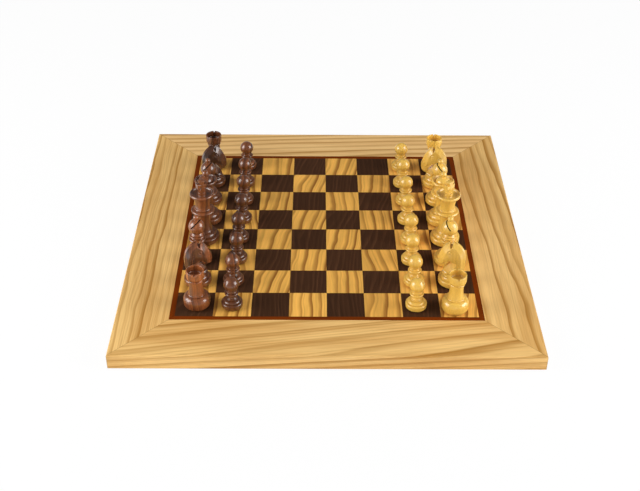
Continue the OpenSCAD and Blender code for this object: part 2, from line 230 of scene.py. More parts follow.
def cut(bm, cutters, grid=None):
    """Takes the cutters out of the body, and where a grid is given remeshes the result on it."""
    body = as_object(bm, "cut_body")
    tools = [as_object(c, "cut_tool") for c in cutters]
    for tool in tools:
        mod = body.modifiers.new("Cut", "BOOLEAN")
        mod.operation, mod.solver, mod.object = "DIFFERENCE", "EXACT", tool
    if grid:
        mod = body.modifiers.new("Grid", "REMESH")
        mod.mode, mod.voxel_size, mod.adaptivity = "VOXEL", grid, 0
    out = finished(body)
    for tool in tools:
        discard(tool)
    return out


def place_piece(bm, name, node, body, spot, turn, materials, cloth_below, crease=TURNED_CREASE):
    """Sets a copy of a man's mesh where its solid stands, on its body, and gives it its finish."""
    bm = bm.copy()
    bmesh.ops.rotate(bm, verts=bm.verts, cent=(0, 0, 0), matrix=Matrix.Rotation(turn, 3, "Z"))
    bmesh.ops.translate(bm, verts=bm.verts, vec=spot)
    for face in bm.faces:
        face.smooth = True
        if cloth_below is not None and face.calc_center_median().z < spot.z + cloth_below * MM:
            face.material_index = CLOTH_FINISH
    limit = math.radians(crease)
    for edge in bm.edges:
        edge.smooth = not edge.is_manifold or edge.calc_face_angle() < limit
    obj = as_object(bm, name)
    for material in materials:
        obj.data.materials.append(material)
    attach(obj, body)
    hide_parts(node)


# ---------- material helpers ----------

class Nodes:
    """Short ways to add and join nodes in one tree."""

    def __init__(self, tree):
        self.tree = tree

    def add(self, kind, inputs=(), **settings):
        node = self.tree.nodes.new(kind)
        for key, value in settings.items():
            setattr(node, key, value)
        for key, value in dict(inputs).items():
            self.put(node, key, value)
        return node

    def put(self, node, key, value):
        """Joins an output to an input, or sets the input to a value or an opaque colour."""
        entry = node.inputs[key]
        if isinstance(value, bpy.types.NodeSocket):
            self.tree.links.new(value, entry)
        else:
            entry.default_value = (*value, 1) if entry.type == "RGBA" else value

    def math(self, operation, a, b=0.0, c=0.0):
        return self.add("ShaderNodeMath", {0: a, 1: b, 2: c}, operation=operation).outputs[0]

    def vector(self, operation, a, b=(0, 0, 0), c=(0, 0, 0)):
        return self.add("ShaderNodeVectorMath", {0: a, 1: b, 2: c}, operation=operation).outputs[0]

    def axes(self, vector):
        return self.add("ShaderNodeSeparateXYZ", {0: vector}).outputs

    def stretched(self, vector, along_x, across):
        """The vector with X and with both other axes multiplied."""
        x, y, z = self.axes(vector)
        return self.add("ShaderNodeCombineXYZ", {
            0: self.math("MULTIPLY", x, along_x), 1: self.math("MULTIPLY", y, across),
            2: self.math("MULTIPLY", z, across)}).outputs[0]

    def mapped(self, value, low, high, first, last):
        """Carries the range from low to high over to the range from first to last, and stays in it."""
        return self.add("ShaderNodeMapRange", {"Value": value, "From Min": low, "From Max": high,
                                               "To Min": first, "To Max": last}).outputs[0]

    def mix(self, factor, a, b, blend="MIX"):
        node = self.add("ShaderNodeMix", data_type="RGBA", blend_type=blend)
        for key, value in ((0, factor), (6, a), (7, b)):
            self.put(node, key, value)
        return node.outputs[2]

    def shaded(self, base, level):
        """A colour times a level."""
        grey = self.add("ShaderNodeCombineColor", {0: level, 1: level, 2: level}).outputs[0]
        return self.mix(1.0, base, grey, "MULTIPLY")

    def ramp(self, factor, stops, interpolation="LINEAR"):
        node = self.add("ShaderNodeValToRGB", {0: factor})
        node.color_ramp.interpolation = interpolation
        elements = node.color_ramp.elements
        while len(elements) < len(stops):
            elements.new(0.5)
        for element, (at, value) in zip(elements, stops):
            element.position = at
            element.color = (*value, 1)
        return node.outputs[0]

    def noise(self, vector, scale=1.0, detail=2.0, roughness=0.5):
        return self.add("ShaderNodeTexNoise", {"Vector": vector, "Scale": scale, "Detail": detail,
                                               "Roughness": roughness}).outputs["Fac"]


BLACK, WHITE = (0, 0, 0), (1, 1, 1)
WAVER = 34.0                    # how fast growth rings waver across the grain, per metre
OTHER_NOISE = (7.3, 2.1, 5.7)   # step to a part of a noise that looks unrelated
PORE_SHAPE = (1.8, 1.3, 1.3)    # pores against fibres: shorter and finer
PORES_FROM, PORES_FULL = 0.60, 0.70


def new_group(name, numbers, outputs):
    """A node group that takes a vector and some numbers and gives numbers."""
    tree = bpy.data.node_groups.new(name, "ShaderNodeTree")
    tree.interface.new_socket("Vector", in_out="INPUT", socket_type="NodeSocketVector")
    for title, value in numbers.items():
        tree.interface.new_socket(title, in_out="INPUT", socket_type="NodeSocketFloat").default_value = value
    for title in outputs:
        tree.interface.new_socket(title, in_out="OUTPUT", socket_type="NodeSocketFloat")
    return Nodes(tree), tree.nodes.new("NodeGroupInput").outputs, tree.nodes.new("NodeGroupOutput").inputs


def grown_rings():
    """Growth rings cut along the log: X runs with the grain, and the pith lies below the face."""
    if "Growth rings" in bpy.data.node_groups:
        return bpy.data.node_groups["Growth rings"]
    n, given, out = new_group("Growth rings", {"Spacing": 0.006, "Depth": 0.03, "Warp": 0.006, "Warp length": 9.0,
                                               "Rise": 0.05}, ("Ring", "Strength"))
    x, y, z = n.axes(given["Vector"])
    slow = n.stretched(given["Vector"], given["Warp length"], WAVER)
    aside, lift = (
        n.math("MULTIPLY", n.math("SUBTRACT", n.noise(at, roughness=0.45), 0.5), given["Warp"])
        for at in (slow, n.vector("ADD", slow, OTHER_NOISE)))
    across = n.math("ADD", y, aside)
    down = n.math("ADD", n.math("ADD", z, given["Depth"]),
                  n.math("ADD", lift, n.math("MULTIPLY", x, given["Rise"])))
    radius = n.math("SQRT", n.math("ADD", n.math("POWER", across, 2.0), n.math("POWER", down, 2.0)))
    turns = n.math("DIVIDE", radius, given["Spacing"])
    year = n.add("ShaderNodeTexWhiteNoise", {"W": n.math("FLOOR", turns)}, noise_dimensions="1D")
    n.tree.links.new(n.math("FRACT", turns), out["Ring"])
    n.tree.links.new(year.outputs["Value"], out["Strength"])
    return n.tree


def wood_fibre():
    """Fine fibres and pores drawn out along X."""
    if "Wood fibre" in bpy.data.node_groups:
        return bpy.data.node_groups["Wood fibre"]
    n, given, out = new_group("Wood fibre", {"Fineness": 900.0, "Stretch": 22.0}, ("Fibre", "Pores"))
    drawn = n.stretched(given["Vector"], n.math("DIVIDE", given["Fineness"], given["Stretch"]), given["Fineness"])
    n.tree.links.new(n.noise(drawn, detail=3.0, roughness=0.6), out["Fibre"])
    specks = n.noise(n.vector("MULTIPLY", drawn, PORE_SHAPE), detail=1.0)
    n.tree.links.new(n.ramp(specks, [(PORES_FROM, BLACK), (PORES_FULL, WHITE)]), out["Pores"])
    return n.tree


def new_material(name, roughness, specular, coat=0.0, coat_roughness=0.1):
    material = bpy.data.materials.new(name)
    material.use_nodes = True
    n = Nodes(material.node_tree)
    shader = material.node_tree.nodes["Principled BSDF"]
    for socket, value in (("Roughness", roughness), ("Specular IOR Level", specular), ("Coat Weight", coat),
                          ("Coat Roughness", coat_roughness)):
        shader.inputs[socket].default_value = value
    place = n.add("ShaderNodeTexCoord").outputs["Object"]
    return material, n, shader, place


def grain_mapping(n, place, shift, turn):
    """Turns and shifts a pattern so that its X runs with the piece's grain."""
    return n.add("ShaderNodeMapping", {"Vector": place, "Location": shift, "Rotation": turn}).outputs[0]


def group_node(n, tree, **inputs):
    node = n.add("ShaderNodeGroup")
    node.node_tree = tree
    for key, value in inputs.items():
        n.put(node, key.replace("_", " "), value)
    return node.outputs


def fibres(n, where, fineness, stretch):
    """Fibres, so many in a metre across the grain and so many times as long as they are wide."""
    return group_node(n, wood_fibre(), Vector=where, Fineness=fineness, Stretch=stretch)


def bumped(n, shader, height, distance, strength):
    bump = n.add("ShaderNodeBump", {"Height": height, "Distance": distance, "Strength": strength})
    n.put(shader, "Normal", bump.outputs[0])


def scaled(value, by):
    return tuple(min(1.0, c * by) for c in value)


def late_wood(n, where, log, spacing, weakest, start=0.40):
    """How much late wood shows at a point: 0 in early wood, up to 1 on a strong ring's dark line.

    The log gives the depth and rise of its pith and the warp of its rings. The weakest ring still shows by that
    share, and each line starts at a share of its ring's width."""
    rings = group_node(n, grown_rings(), Vector=where, Spacing=spacing, Depth=log["depth"], Warp=log["warp"],
                       Warp_length=log["length"], Rise=log["rise"])
    line = n.ramp(rings["Ring"], [(start, BLACK), (0.80, (0.8, 0.8, 0.8)), (0.88, WHITE), (1.0, BLACK)], "EASE")
    return n.math("MULTIPLY", line, n.math("MULTIPLY_ADD", rings["Strength"], 1 - weakest, weakest))


def patches(n, where, along_grain, across):
    """Soft patches drawn out with the grain, so many in a metre along it and across it."""
    return n.noise(n.vector("MULTIPLY", where, (along_grain, across, across)))


def streaked(n, base, fibre, spread):
    """Lightens and darkens a colour along the fibres, by spread in all."""
    return n.shaded(base, n.math("MULTIPLY_ADD", fibre, spread, 1 - spread / 2))


# ---------- woods of the board ----------

LIGHT_LOG = dict(depth=0.03, warp=0.006, length=20.0, rise=0.03)
DARK_LOG = dict(depth=0.05, warp=0.006, length=12.0, rise=0.05)
PLAIN_LOG = dict(depth=0.08, warp=0.004, length=9.0, rise=0.01)
PLAIN_SHIFT = (0.31, 0.17, 0.02)
CUT_FROM = (0.3, 0.026, 0.0)       # nearest part of the log that a square is cut from
CUT_WITHIN = (0.5, 0.030, 0.010)   # how far along, across and down the others are spread
MITRE_STAIN = 0.55
FINE_SHARE = 0.31                  # spacing of the frame's fine lines, as a share of its broad ones'
FINE_SHIFT = (0.7, 0.004, 0.0)     # keeps the fine lines from following the broad ones


def frame_wood(settings, name, rail, pale, tan):
    """Broad-ringed pale wood of one frame rail, with the fine line of its mitres."""
    material, n, shader, place = new_material(name, roughness=0.5, specular=0.25)
    where = grain_mapping(n, place, rail["shift"], (0, 0, rail["turn"]))
    fibre = fibres(n, where, fineness=760.0, stretch=26.0)
    late = settings.frame_dark
    base = n.ramp(patches(n, where, 6.0, 60.0), [(0.38, tan), (0.62, pale)])
    broad = late_wood(n, where, rail, rail["spacing"], rail["weakest"])
    fine = late_wood(n, n.vector("ADD", where, FINE_SHIFT), rail, rail["spacing"] * FINE_SHARE, weakest=0.0)
    base = n.mix(broad, base, late)
    base = n.mix(n.math("MULTIPLY", fine, rail["fine"]), base, late)
    base = streaked(n, base, fibre["Fibre"], spread=0.36)
    base = n.mix(n.math("MULTIPLY", fibre["Pores"], 0.10), base, scaled(late, 0.8))
    x, y, _ = n.axes(place)
    gap = n.math("ABSOLUTE", n.math("SUBTRACT", n.math("ABSOLUTE", x), n.math("ABSOLUTE", y)))
    joint = n.math("LESS_THAN", gap, settings.joint_line)
    base = n.mix(n.math("MULTIPLY", joint, MITRE_STAIN), base, scaled(late, 0.40))
    n.put(shader, "Base Color", base)
    n.put(shader, "Roughness", n.math("MULTIPLY_ADD", fibre["Fibre"], 0.14, 0.42))
    bumped(n, shader, n.math("ADD", fibre["Fibre"], n.math("MULTIPLY", fibre["Pores"], -0.6)), 0.00006, 0.5)
    return material


def per_square(n, place):
    """Two random values for each square of the field, and the place of a point from its square's middle."""
    counted = n.vector("MULTIPLY", n.vector("ADD", place, (4 * PITCH, 4 * PITCH, 0)), (1 / PITCH, 1 / PITCH, 0))
    whole = n.vector("FLOOR", counted)
    middle = n.vector("MULTIPLY_ADD", whole, (PITCH, PITCH, 1), (-3.5 * PITCH, -3.5 * PITCH, 0))
    random = n.add("ShaderNodeTexWhiteNoise", {"Vector": whole}, noise_dimensions="3D")
    return random.outputs["Value"], random.outputs["Color"], n.vector("SUBTRACT", place, middle)


def veneer(name, specular, swing, stretch):
    """Starts a veneer whose squares are each cut from another part of the log and laid askew, by swing in all."""
    material, n, shader, place = new_material(name, 0.5, specular)
    value, shade, local = per_square(n, place)
    angle = n.math("MULTIPLY_ADD", value, swing, QUARTER - swing / 2)
    laid = n.add("ShaderNodeVectorRotate", {"Vector": local, "Angle": angle}, rotation_type="Z_AXIS").outputs[0]
    where = n.vector("ADD", laid, n.vector("MULTIPLY_ADD", shade, CUT_WITHIN, CUT_FROM))
    fibre = fibres(n, where, 900.0, stretch)["Fibre"]
    bumped(n, shader, fibre, 0.00004, 0.5)
    return material, n, shader, where, fibre, value


def light_veneer(settings):
    """Pale veneer with strong brown lines."""
    material, n, shader, where, fibre, _ = veneer("Light veneer", specular=0.2, swing=0.4, stretch=24.0)
    pale, late = settings.light_square, settings.light_grain
    base = n.ramp(patches(n, where, 14.0, 90.0), [(0.36, scaled(pale, 0.80)), (0.60, pale)])
    base = n.mix(late_wood(n, where, LIGHT_LOG, spacing=0.0060, weakest=0.45, start=0.46), base, late)
    fine = late_wood(n, where, LIGHT_LOG, spacing=0.0018, weakest=0.0, start=0.30)
    base = n.mix(n.math("MULTIPLY", fine, 0.30), base, late)
    n.put(shader, "Base Color", streaked(n, base, fibre, spread=0.40))
    return material


def dark_veneer(settings):
    """Nearly black veneer with faint veins, each square of its own tone."""
    material, n, shader, where, fibre, value = veneer("Dark veneer", specular=0.05, swing=0.3, stretch=30.0)
    ground = settings.dark_square
    vein = late_wood(n, where, DARK_LOG, spacing=0.0019, weakest=0.2)
    base = streaked(n, n.mix(vein, ground, scaled(ground, 1.7)), fibre, spread=0.9)
    n.put(shader, "Base Color", n.shaded(base, n.math("MULTIPLY_ADD", value, 0.3, 0.85)))
    return material


def plain_wood(name, ground, late, turn, spacing, roughness=0.5):
    """Straight-grained wood for strips, splines and hidden parts."""
    material, n, shader, place = new_material(name, roughness, specular=0.05)
    where = grain_mapping(n, place, PLAIN_SHIFT, (0, 0, turn))
    fibre = fibres(n, where, 900.0, 24.0)["Fibre"]
    rings = late_wood(n, where, PLAIN_LOG, spacing, weakest=0.3)
    base = n.mix(n.math("MULTIPLY", rings, 0.8), ground, late)
    n.put(shader, "Base Color", n.mix(n.math("MULTIPLY", fibre, 0.4), base, late))
    bumped(n, shader, fibre, 0.00004, 0.5)
    return material


# ---------- finishes of the men ----------

MEN_LOG = dict(depth=0.5, warp=0.009, length=14.0, rise=0.06)
UPRIGHT = (0, QUARTER, math.radians(24))
MEN_FINE_SHARE = 0.36
TONE_SHIFT = (0.031, 0.017, 0.0)
FLAT_FROM, FLAT_FULL = 0.78, 0.93   # how squarely a carved face looks sideways before it counts as a flat side, which gets painted shade
STICKS = {
    "dark": dict(spacing=0.0055, contrast=0.90, darkest=0.60),
    "light": dict(spacing=0.0036, contrast=0.35, darkest=0.96),
}
# Tones of each side's woods. near and far are painted light and shade: the tone changes along the back row for how
# the light falls off towards its far end. The factor for the flanks is painted shade on the flat sides of a carved
# head; pawns is the pawns' own tone.
TONES_AND_PAINTED_LIGHT = {
    "dark": {"lacquered": dict(near=1.07, far=0.44, pawns=0.61),
             "carved": dict(near=0.95, far=0.44, flank_shade=0.40)},
    "light": {"lacquered": dict(near=0.94, far=1.13, pawns=1.00),
              "carved": dict(near=1.02, far=1.08, flank_shade=0.82)},
}


def lacquered_wood(name, ground, late, stick, near, far, pawns=None, flank_shade=None):
    """Close-grained wood with upright grain, under a gloss lacquer.

    Its tone goes from near to far along the back row, which is painted light and shade for how the light falls off
    towards the back. The pawns have a tone of their own, and the flat sides of a carved head are darker by a given
    factor, as painted shade."""
    material, n, shader, place = new_material(name, roughness=0.42, specular=0.36, coat=1.0, coat_roughness=0.18)
    shader.inputs["Coat IOR"].default_value = 1.6
    where = grain_mapping(n, place, (0, 0, 0), UPRIGHT)
    fibre = fibres(n, where, fineness=1300.0, stretch=16.0)
    spacing, contrast = stick["spacing"], stick["contrast"]
    cloud = n.noise(n.vector("ADD", place, TONE_SHIFT), 17.0, detail=0.0)
    base = n.ramp(cloud, [(0.35, scaled(ground, stick["darkest"])), (0.65, scaled(ground, 1.10))])
    broad = late_wood(n, where, MEN_LOG, spacing, weakest=0.1, start=0.1)
    fine = late_wood(n, where, MEN_LOG, spacing * MEN_FINE_SHARE, weakest=0.0, start=0.1)
    base = n.mix(n.math("MULTIPLY", broad, contrast), base, late)
    base = n.mix(n.math("MULTIPLY", fine, contrast * 0.6), base, late)
    base = streaked(n, base, fibre["Fibre"], contrast * 1.2)
    x, y, _ = n.axes(place)
    # Painted light and shade: the tone changes from the near to the far end of the back row, for how the light falls
    # off towards the back.
    tone = n.mapped(y, -4 * PITCH, 4 * PITCH, near, far)
    if pawns:
        ahead = n.math("LESS_THAN", n.math("ABSOLUTE", x), 3 * PITCH)
        tone = n.add("ShaderNodeMix", {0: ahead, 2: tone, 3: pawns}, data_type="FLOAT").outputs[0]
    # Painted shade: faces that look squarely along Y, the flat sides of a carved head, are darkened by the given
    # factor.
    if flank_shade:
        sideways = n.math("ABSOLUTE", n.axes(n.add("ShaderNodeTexCoord").outputs["Normal"])[1])
        tone = n.math("MULTIPLY", tone, n.mapped(sideways, FLAT_FROM, FLAT_FULL, 1.0, flank_shade))
    base = n.shaded(base, tone)
    base = n.mix(n.math("MULTIPLY", fibre["Pores"], 0.3 * contrast), base, scaled(late, 0.6))
    n.put(shader, "Base Color", base)
    n.put(shader, "Roughness", n.math("MULTIPLY_ADD", fibre["Fibre"], 0.12, 0.36))
    bumped(n, shader, fibre["Fibre"], 0.00002, 0.35)
    return material


def cloth_finish(ground):
    """Short-napped cloth."""
    material, n, shader, place = new_material("Foot cloth", roughness=0.95, specular=0.2)
    nap = n.noise(place, 2600.0, detail=3.0, roughness=0.7)
    n.put(shader, "Base Color", n.ramp(nap, [(0.3, scaled(ground, 0.6)), (0.7, scaled(ground, 1.7))]))
    shader.inputs["Sheen Weight"].default_value = 0.4
    bumped(n, shader, nap, 0.0002, 0.6)
    return material


def men_materials(context, work="lacquered"):
    """Each side's wood, cloth and slit, in the order of their indices on a man; all are made once."""
    made = bpy.data.materials
    if "Foot cloth" not in made:
        s = context.scene.chess_men
        for side in SIDES:
            for kind, tones in TONES_AND_PAINTED_LIGHT[side].items():
                lacquered_wood(f"{side.capitalize()} {kind} wood", getattr(s, side + "_wood"),
                               getattr(s, side + "_grain"), STICKS[side], **tones)
        cloth_finish(s.cloth)
        # Painted shade: the slit's near-black colour stands in for the shade inside the kerf.
        plain_wood("Stained slit", s.slit, scaled(s.slit, 0.5), 0, 0.002, 0.8)
    return {side: [made[f"{side.capitalize()} {work} wood"], made["Foot cloth"], made["Stained slit"]]
            for side in SIDES}


# ---------- shapes of the men, in millimetres from the square ----------

PAWN = dict(height=33.2, base=10.25, head=7.3, collar=6.8, waist=3.8)
ROOK = dict(height=41.5, base=13.0, head=8.6, waist=6.5, wall=1.3, hollow=7.0,
            notch=1.2, notch_depth=1.6, cuts=2)
BISHOP = dict(height=54.0, base=13.3, head=8.1, collar=8.5, waist=5.2, ball=2.8,
              kerf=1.0, slope=45.0, slit_from=(-0.35, 0.2))
KNIGHT = dict(height=49.0, base=13.4, base_height=12.5, thick=12.4, drawn=36.5, groove=1.7,
              groove_depth=4.4, mouth=0.6, mouth_slope=26.0)
QUEEN = dict(height=61.0, base=14.7, crown=11.6, collar=11.6, waist=6.2, ball=3.2, channel=2.2)
KING = dict(height=72.0, base=15.0, crown=12.4, collar=12.0, waist=6.6, finial=13.4,
            finial_wide=10.4, finial_thick=5.6, dish=3.0)
# The carved head: its thickness going up and along, then its face. Heights start at the head's foot.
THICK_UP = [0, 0.25, 0.55, 0.78, 1.0], [0.94, 1.0, 0.95, 0.80, 0.66]
THICK_ALONG = [-12, -9, -4, 4, 9, 13, 15], [0.84, 0.94, 1, 1, 0.88, 0.70, 0.58]
CHEST_TOP = 13.5
SWELLINGS = ((5.0, 19.0), 4.2, 0.35), ((9.6, 20.6), 2.6, -0.45), ((13.2, 16.4), 0.75, -0.6)   # cheek, hollow, nostril
EYE = dict(at=(3.8, 25.4), ball=0.8, high=0.40, rim=1.4, rim_wide=0.4, deep=0.45)
MANE_ROWS = (1, 5.0), (2, 7.4)   # the crest's point that a row of strokes starts at, and how far in from it
CLOTH = 0.8
CLOTH_IN = 1.1
FOOT_ROUND = 1.6
FOOT_IN = FOOT_ROUND * 0.7
SWELL = 0.835        # radius of the swelling on a foot, as a share of the foot's
RANK_TURN = {
    "dark": dict(rook_near=0, knight_near=16, bishop_near=-20, king=30, queen=0, bishop_far=-20,
                 knight_far=20, rook_far=0),
    "light": dict(rook_near=180, knight_near=166, bishop_near=160, king=220, queen=180,
                  bishop_far=180, knight_far=168, rook_far=180),
}


def sole(r, rise, inset):
    """Cloth disc and the rounding above it."""
    edge = r - inset - CLOTH_IN
    return [(0, 0), (edge * 0.5, 0), (edge - 0.15, 0), (edge, 0.15), (edge, CLOTH)] + \
        arc(r - inset, CLOTH + rise, inset, rise, -90, 0, 9)


def stepped_base(r, drum, swell, bead):
    """A drum up to one height, a smaller swelling on it up to the next and a bead of the last radius."""
    r2, lip = r * SWELL, 1.4
    return (sole(r, FOOT_ROUND, FOOT_IN) + arc(r2, drum - lip, r - r2, lip, 0, 90, 9)
            + [(r2 - 0.5, drum + 0.1), (r2 - 0.5, drum + 0.4)]
            + arc(bead - 0.4, drum + 0.6, r2 + 0.4 - bead, swell - drum - 0.6, 0, 90, 14)
            + ring(bead, swell + 0.6, 1.2, 8))


def ball_up(r, z, low, high, n):
    return arc(0, z, r, r, low, high, n)


def pawn_shape(steps):
    p = PAWN
    head_z = p["height"] - p["head"]
    collar_z = head_z - p["head"] - 2.3
    return turned(
        stepped_base(p["base"], 6.6, 9.6, p["waist"] + 1.6)
        + waist(p["waist"], 13.6, 6, 11.2, collar_z - 1.2, 12)
        + ring(p["collar"], collar_z, 2.2, 12) + ring(p["collar"] - 1.5, collar_z + 1.8, 1.4, 8)
        + ball_up(p["head"], head_z, -arccos((p["waist"] + 0.6) / p["head"]), 90, 32), steps)


def rook_shape(steps):
    p = ROOK
    h, r, rh, rw = p["height"], p["base"], p["head"], p["waist"]
    head_z, inner = h - 6.6, rh - p["wall"]
    bm = turned(
        sole(r, 4.2, 2.1) + arc(rw + 1.7, 7.8, r - rw - 1.7, 5.8, 0, 90, 18) + ring(rw + 2, 14.4, 1.6, 9)
        + waist(rw, 26, 46, 15.3, head_z - 5.2, 18) + ring(rw + 0.9, head_z - 4.2, 1.5, 9)
        + [(rw + 0.5, head_z - 3.2)] + arc(rh - 2, head_z, 2, 3, -70, 0, 10)
        + arc(rh - 0.5, h - 0.5, 0.5, 0.5, 0, 90, 5) + arc(inner + 0.4, h - 0.4, 0.4, 0.4, 90, 180, 5)
        + [(inner, h - p["hollow"] + 1.2)] + arc(inner - 1.2, h - p["hollow"] + 1.2, 1.2, 1.2, 0, -90, 6)
        + [(inner * 0.4, h - p["hollow"] - 0.3), (0, h - p["hollow"] - 0.4)], steps)
    cutters = []
    for i in range(p["cuts"]):
        spin = Matrix.Rotation(math.radians(i * 180 / p["cuts"] + 90), 4, "Z")
        lift = Matrix.Translation((0, 0, (h - p["notch_depth"] / 2 + 0.5) * MM))
        cutters.append(block((2 * rh + 2, p["notch"], p["notch_depth"] + 1), spin @ lift))
    return cut(bm, cutters)


def bishop_shape(steps):
    p = BISHOP
    rh, rc, rw, rb = p["head"], p["collar"], p["waist"], p["ball"]
    ball_z = p["height"] - rb
    head_z = ball_z - rb - rh
    stalk = 1.9
    bm = turned(
        stepped_base(p["base"], 7, 11, rw + 2.4) + waist(rw, 21, 30, 12.2, head_z - 15.6, 16)
        + ring(rc, head_z - 13.9, 2.4, 12) + ring(rc - 2, head_z - 12, 1.2, 8) + [(rw + 0.6, head_z - 11.2)]
        + ring(rc - 0.9, head_z - 10, 1.6, 10) + ring(rc - 2, head_z - 8.3, 1.5, 10)
        + ball_up(rh, head_z, -arccos(5 / rh), 0, 16)
        + arc(0, head_z, rh, rh + 0.6, 5, arccos(stalk / rh), 20)
        + ball_up(rb, ball_z, -arccos(stalk / rb), 90, 18), steps)
    x, z = p["slit_from"]
    saw = (2.4 * rh, 2.2 * rh, p["kerf"])
    stand = Matrix.Translation((x * rh * MM, 0, (head_z + z * rh) * MM)) @ \
        Matrix.Rotation(-math.radians(p["slope"]), 4, "Y") @ Matrix.Translation((1.2 * rh * MM, 0, 0))
    bm = cut(bm, [block(saw, stand)])
    # Faces inside the kerf take the slit's painted shade.
    for face in bm.faces:
        at = stand.inverted() @ face.calc_center_median()
        inside = all(abs(place) < 0.501 * size * MM for place, size in zip(at, saw))
        face.material_index = SLIT_PAINTED_SHADE if inside else WOOD_FINISH
    return bm


def crown(rn, z0, rr, z1):
    return (arc(rr, z0 + 1, rr - rn, z1 - z0 - 3.4, 180, 118, 14)
            + arc(rr - 1.4, z1 - 1.6, 1.4, 1.6, -60, 75, 12))


def stem(rw, rc, zc):
    return (waist(rw, zc - 11, 40, 13.4, zc - 4.6, 18) + ring(rc - 3.6, zc - 3.2, 1.8, 9) + [(rc - 4.4, zc - 2)]
            + ring(rc, zc, 3, 14) + ring(rc - 3.2, zc + 2.8, 1.8, 10))


def queen_shape(steps):
    p = QUEEN
    rr, rb = p["crown"], p["ball"]
    ball_z = p["height"] - rb
    rim_z, dome_r, stalk = ball_z - 6.8, rr - 3.9, 2.2
    dome_z = rim_z - p["channel"]
    return turned(
        stepped_base(p["base"], 7.4, 11.6, p["waist"] + 2.6) + stem(p["waist"], p["collar"], rim_z - 15.5)
        + crown(p["waist"] + 0.5, rim_z - 11.4, rr, rim_z)
        + [(rr - 1.7, rim_z - 0.5), (rr - 2.1, rim_z - 1.1), (rr - 2.3, dome_z + 0.3), (dome_r + 0.5, dome_z)]
        + arc(0, dome_z, dome_r, p["channel"] + 4, 3, arccos(stalk / dome_r), 20)
        + ball_up(rb, ball_z, -arccos(stalk / rb), 90, 20), steps)


def king_shape(steps):
    p = KING
    rr, dish, lip, fillet = p["crown"], p["dish"], 0.6, 1.2
    seat_z = p["height"] - p["finial"]
    rim_z, seat_r = seat_z - 0.8, p["finial_thick"] / 2 + 1.4
    return turned(
        stepped_base(p["base"], 7.6, 12, p["waist"] + 2.8) + stem(p["waist"], p["collar"], rim_z - 21)
        + crown(p["waist"] + 0.9, rim_z - 16.4, rr, rim_z)
        + arc(seat_r + fillet, rim_z - lip, rr - seat_r - fillet - 1.8, dish - lip, 0, -80, 14)
        + arc(seat_r + fillet, rim_z - dish + fillet, fillet, fillet, 270, 180, 8)
        + arc(seat_r - 0.4, seat_z - 0.4, 0.4, 0.4, 0, 90, 5) + [(0, seat_z)], steps)


def finial_shape():
    """A cross with arms that widen outwards, its edges softened."""
    p = KING
    low, h, w = p["height"] - p["finial"], p["finial"], p["finial_wide"] / 2
    mid, thin, wide = h * 0.56, p["finial_thick"] * 0.28, p["finial_wide"] * 0.3
    outline = [(-wide, 0), (wide, 0), (thin, mid - thin), (w, mid - wide), (w, mid + wide), (thin, mid + thin),
               (wide, h), (-wide, h), (-thin, mid + thin), (-w, mid + wide), (-w, mid - wide),
               (-thin, mid - thin)]
    bm = slab([(x, z + low) for x, z in outline], p["finial_thick"] / 2)
    bmesh.ops.bevel(bm, geom=list(bm.edges), offset=0.5 * MM, segments=3, profile=0.5, affect="EDGES",
                    material=-1, clamp_overlap=True)
    return bm


def knight_base_shape(steps):
    p = KNIGHT
    r, top = p["base"], p["base_height"]
    return turned(
        sole(r, FOOT_ROUND, FOOT_IN) + arc(r * 0.86, 5.6, r * 0.14, 1.5, 0, 90, 9)
        + [(r * 0.82, 7.2), (r * 0.82, 7.5)] + arc(r * 0.7, 7.7, r * 0.15, top - 9.2, 0, 90, 12)
        + ring(r * 0.76, top - 0.7, 1.4, 8) + [(0, top)], steps)


def head_parts():
    """Side outline of the carved head, facing +X, in four runs: mane with ears, face, jaw and chest."""
    b, k = KNIGHT["base_height"], (KNIGHT["height"] - KNIGHT["base_height"]) / KNIGHT["drawn"]
    mane = along([(-9.6, 0), (-11.3, 6), (-11.9, 14), (-11.4, 21), (-9, 27.6), (-4.8, 32.6), (1, 36.5)], 6)
    gap = [(2.2, 30.2), (3.6, 30)]
    face = along([(4.8, 34.6), (8.4, 31.6), (11.4, 27.4), (13.6, 22.4), (14.9, 17.4), (15, 13.6)], 6)
    jaw = along([(15, 13.6), (13.6, 10.8), (10.8, 10.2), (8, 11.8), (5.4, 13.8), (2.6, 15.4)], 6)[1:]
    chest = along([(1.8, 14.4), (3.2, 11.4), (6.2, 8), (8.8, 4.4), (9.6, 0)], 6)
    return [[(x, b + z * k) for x, z in run] for run in (mane, gap, face, jaw, chest)]


def distance_to(points, line):
    """Shortest distance from each point to an open line, in the line's plane."""
    a = np.array(line)
    best = np.full(len(points), 1e9)
    for p, q in zip(a, a[1:]):
        d = q - p
        t = np.clip(((points - p) @ d) / (d @ d + 1e-12), 0, 1)
        best = np.minimum(best, np.hypot(*(points - (p + t[:, None] * d)).T))
    return best


def stroke(points, at, along_by, wide, deep):
    """A short carved stroke: a hollow drawn out along one direction."""
    d = np.array(along_by)
    size = np.hypot(*d)
    d = d / size
    rel = points - np.array(at)
    u, v = rel @ d, rel @ np.array((-d[1], d[0]))
    return deep * np.exp(-(u / size) ** 4 - (v / wide) ** 2)


def hump(points, at, size):
    """A soft round swelling of height 1 about a point."""
    return np.exp(-(np.hypot(points[:, 0] - at[0], points[:, 1] - at[1]) / size) ** 2)


def chamfer(distance, wide, edge):
    """Share of the full thickness at a distance from an edge that is cut down to the share edge."""
    return edge + (1 - edge) * np.clip(distance / wide, 0, 1)


